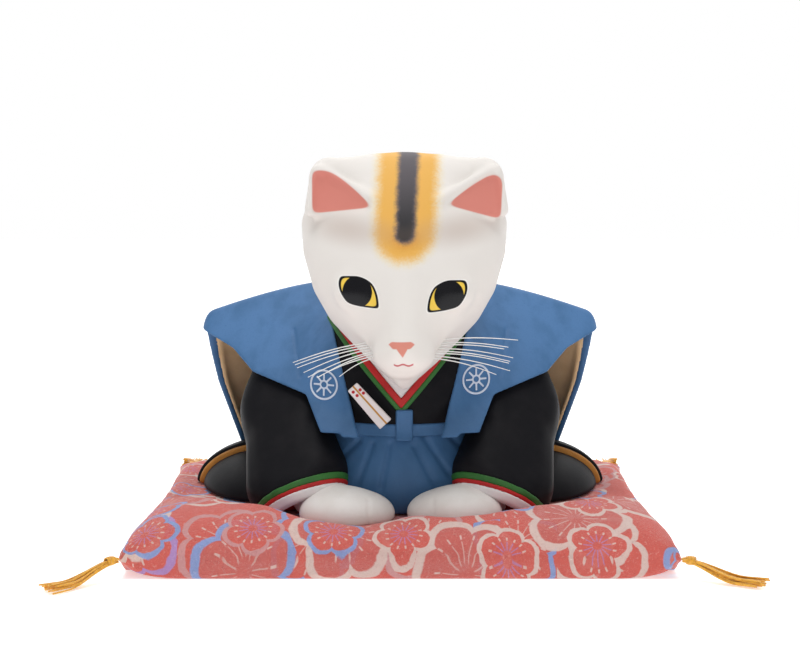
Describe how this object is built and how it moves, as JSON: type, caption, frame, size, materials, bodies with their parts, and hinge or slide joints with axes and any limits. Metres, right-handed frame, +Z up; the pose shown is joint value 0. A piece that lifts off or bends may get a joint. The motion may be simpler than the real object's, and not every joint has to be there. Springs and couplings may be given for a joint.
{
  "type": "ceramic cat figurine",
  "caption": "Painted ceramic cat in formal vest and pleated trousers, bowing with both paws on a square tasselled floor cushion.",
  "frame": {"origin": "middle of the cushion's flat underside, which is the mount base", "axes": "+Z up, the cat faces -Y, +X to the right as seen from the front"},
  "size_m": [0.2327, 0.2329, 0.1381],
  "materials": {
    "cat_white": "matte",
    "vest_blue": "matte",
    "kimono_black": "satin",
    "trim_red": "satin",
    "trim_green": "satin",
    "trim_white": "matte",
    "lining_ochre": "matte",
    "raw_clay": "unglazed",
    "bristle": "satin",
    "cushion_crepe": "crepe weave",
    "wadding": "loose cotton",
    "tassel_gold": "twisted thread"
  },
  "bodies": {
    "cushion": {"cushion_cover": "cushion_crepe", "cushion_filling": "wadding", "tassel_back_left": "tassel_gold", "tassel_back_right": "tassel_gold", "tassel_front_left": "tassel_gold", "tassel_front_right": "tassel_gold"},
    "figure": {"belt": "vest_blue", "collar_green": "trim_green", "collar_red": "trim_red", "collar_white": "trim_white", "cuff_green_left": "trim_green", "cuff_green_right": "trim_green", "cuff_red_left": "trim_red", "cuff_red_right": "trim_red", "cuff_white_left": "trim_white", "cuff_white_right": "trim_white", "ear_left": "cat_white", "ear_right": "cat_white", "fan": "trim_white", "hakama_shell": "vest_blue", "head_shell": "cat_white", "kimono_left": "kimono_black", "kimono_right": "kimono_black", "neck_tube": "raw_clay", "paw_left": "cat_white", "paw_right": "cat_white", "sleeve_fold_left": "kimono_black", "sleeve_fold_right": "kimono_black", "sleeve_left": "kimono_black", "sleeve_lining_left": "lining_ochre", "sleeve_lining_right": "lining_ochre", "sleeve_pouch_left": "kimono_black", "sleeve_pouch_right": "kimono_black", "sleeve_right": "kimono_black", "tie": "vest_blue", "trunk_shell": "raw_clay", "vest_back": "vest_blue", "vest_front_left": "vest_blue", "vest_front_right": "vest_blue", "whiskers_left": "bristle", "whiskers_right": "bristle"}
  },
  "joints": [
    {"name": "figure_lift", "type": "slide", "parent": "cushion", "child": "figure", "axis": [0, 0, 1], "range_m": [0, 0.15]}
  ]
}
